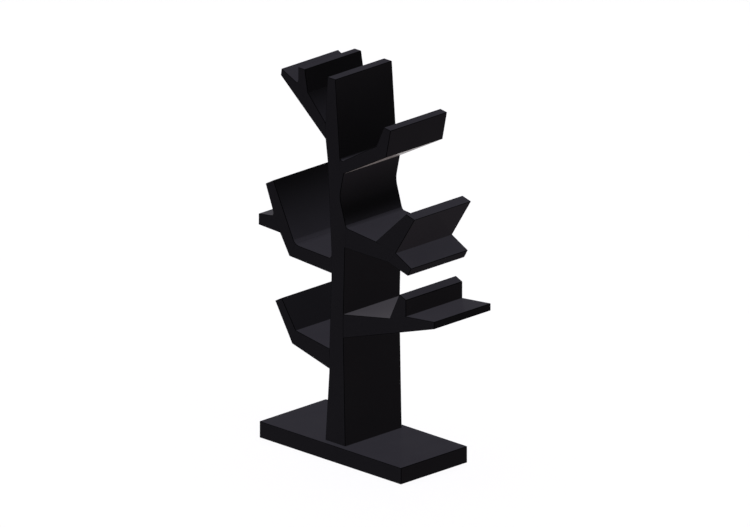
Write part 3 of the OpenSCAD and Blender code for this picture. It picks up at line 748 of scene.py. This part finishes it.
def makePads():
    low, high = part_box("floor_pads")
    middle = (low + high) / 2
    reach = (high - low) / 2 - Vector((pads["radius"], pads["radius"], 0))
    centres = [
        (middle.x + right * reach.x, middle.y + back * reach.y) for right, back in pads["places"]
    ]
    shape = bmesh.new()
    for x, y in centres:
        bottom = bmesh.ops.create_circle(
            shape, cap_ends=True, segments=pads["sides"], radius=pads["radius"] - pads["ragged"],
        )["verts"]
        disc = {f for v in bottom for f in v.link_faces}
        raised = bmesh.ops.extrude_face_region(shape, geom=list(disc))
        top = [g for g in raised["geom"] if isinstance(g, bmesh.types.BMVert)]
        bmesh.ops.translate(shape, verts=top, vec=(0, 0, high.z - low.z))
        bmesh.ops.translate(shape, verts=bottom + top, vec=(x, y, low.z))
    rims = {e for f in shape.faces if len(f.verts) > 4 for e in f.edges}
    bmesh.ops.bevel(
        shape, geom=list(rims), offset=pads["rim"], affect="EDGES",
        segments=pads["rimSteps"], profile=roundProfile, material=-1,
    )
    for vert in shape.verts:
        pull = noise.noise(vert.co * pads["raggedSize"]) * pads["ragged"]
        centre = min(
            (Vector((x, y, vert.co.z)) for x, y in centres),
            key=lambda c: (c - vert.co).length,
        )
        vert.co += (vert.co - centre).normalized() * pull
    bmesh.ops.recalc_face_normals(shape, faces=shape.faces)
    for face in shape.faces:
        face.smooth = True
    mesh = bpy.data.meshes.new("floorPads")
    shape.to_mesh(mesh)
    shape.free()
    mesh.materials.append(makeFelt())
    felt = bpy.data.objects.new("floorPads", mesh)
    bpy.context.scene.collection.objects.link(felt)
    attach(felt, "root")
    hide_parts("floor_pads")


makePads()
print("felt pads made")


# A plain pale floor under six sun lamps. As in the photograph, the open faces and the pockets are lit
# alike, so five lamps throw no shadow, and the faint one, soft, puts the tree's shadow on the floor
studio = {
    "floorHalf": 30.0,
    "floorLight": (0.06, 0.057, 0.055, 1),  # what the floor gives back to the boards
    "floorShown": (0.35, 0.35, 0.35, 1),    # what is seen of it, with its shadow
    "floorGlow": (0.370, 0.370, 0.370, 1),
    "white": (1, 1, 1, 1),
    "ambient": (0.85, 0.9, 1.0, 1),
    "ambientStrength": 0.02,
    # A strength of pi lights a surface that faces the lamp so that it shows its own colour. The spread
    # is in degrees
    "lamps": {
        "key": {
            "from": (-0.40, 0, 0.917), "strength": 5.60, "spread": 12, "shadow": False,
            "colour": (1.0, 0.99, 1.02),
        },
        "soft": {
            "from": (-0.2, 0.1, 0.97), "strength": 0.45, "spread": 70, "shadow": True,
            "colour": (1.0, 0.99, 1.02),
        },
        "bounce": {
            "from": (0.2, 0, -0.98), "strength": 3.0, "spread": 12, "shadow": False,
            "colour": (1.07, 0.97, 0.93),
        },
        "right": {
            "from": (0.98, 0, 0.17), "strength": 0.42, "spread": 40, "shadow": False,
            "colour": (1.0, 1.0, 0.85),
        },
        "front": {
            "from": (0, -1, 0), "strength": 1.25, "spread": 12, "shadow": False,
            "colour": (1.02, 1.0, 0.98),
        },
        "back": {
            "from": (0, 1, 0), "strength": 1.2, "spread": 12, "shadow": False,
            "colour": (1.02, 1.0, 0.98),
        },
    },
}


# One where the camera, a gloss or a clear material looks, and nothing where plain light falls
def lookMask(tree):
    path = addNode(tree, "ShaderNodeLightPath").outputs
    gloss = addNode(tree, "ShaderNodeMath", {"operation": "MAXIMUM"}, {
        0: path["Is Glossy Ray"], 1: path["Is Transmission Ray"],
    })
    return addNode(tree, "ShaderNodeMath", {"operation": "MAXIMUM"}, {
        0: path["Is Camera Ray"], 1: gloss.outputs["Value"],
    }).outputs["Value"]


def makeFloor():
    shape = bmesh.new()
    bmesh.ops.create_grid(shape, x_segments=1, y_segments=1, size=studio["floorHalf"])
    mesh = bpy.data.meshes.new("floor")
    shape.to_mesh(mesh)
    shape.free()
    material, tree, _ = startMaterial("paleFloor")
    given = addNode(tree, "ShaderNodeBsdfDiffuse", {}, {"Color": studio["floorLight"]})
    shown = addNode(tree, "ShaderNodeBsdfDiffuse", {}, {"Color": studio["floorShown"]})
    glow = addNode(tree, "ShaderNodeEmission", {}, {"Color": studio["floorGlow"], "Strength": 1.0})
    pale = addNode(tree, "ShaderNodeAddShader", {}, {
        0: glow.outputs["Emission"], 1: shown.outputs["BSDF"],
    })
    seen = addNode(tree, "ShaderNodeMixShader", {}, {
        0: lookMask(tree), 1: given.outputs["BSDF"], 2: pale.outputs["Shader"],
    })
    endMaterial(tree, seen.outputs["Shader"])
    mesh.materials.append(material)
    floor = bpy.data.objects.new("floor", mesh)
    bpy.context.scene.collection.objects.link(floor)


def makeWorld():
    world = bpy.data.worlds.new("studio")
    world.use_nodes = True
    tree = world.node_tree
    tree.nodes.clear()
    soft = addNode(tree, "ShaderNodeBackground", {}, {
        "Color": studio["ambient"], "Strength": studio["ambientStrength"],
    })
    white = addNode(tree, "ShaderNodeBackground", {}, {"Color": studio["white"], "Strength": 1.0})
    seen = addNode(tree, "ShaderNodeMixShader", {}, {
        0: lookMask(tree), 1: soft.outputs["Background"], 2: white.outputs["Background"],
    })
    addNode(tree, "ShaderNodeOutputWorld", {}, {"Surface": seen.outputs["Shader"]})
    bpy.context.scene.world = world


def makeLamps():
    for name, lamp in studio["lamps"].items():
        light = bpy.data.lights.new(name + "Lamp", "SUN")
        light.energy = lamp["strength"]
        light.angle = math.radians(lamp["spread"])
        light.use_shadow = lamp["shadow"]
        light.color = lamp["colour"]
        holder = bpy.data.objects.new(name + "Lamp", light)
        holder.rotation_mode = "QUATERNION"
        holder.rotation_quaternion = Vector(lamp["from"]).to_track_quat("Z", "Y")
        bpy.context.scene.collection.objects.link(holder)


makeFloor()
makeWorld()
makeLamps()
bpy.context.scene.view_settings.view_transform = "Standard"
print("floor, world and lamps made")
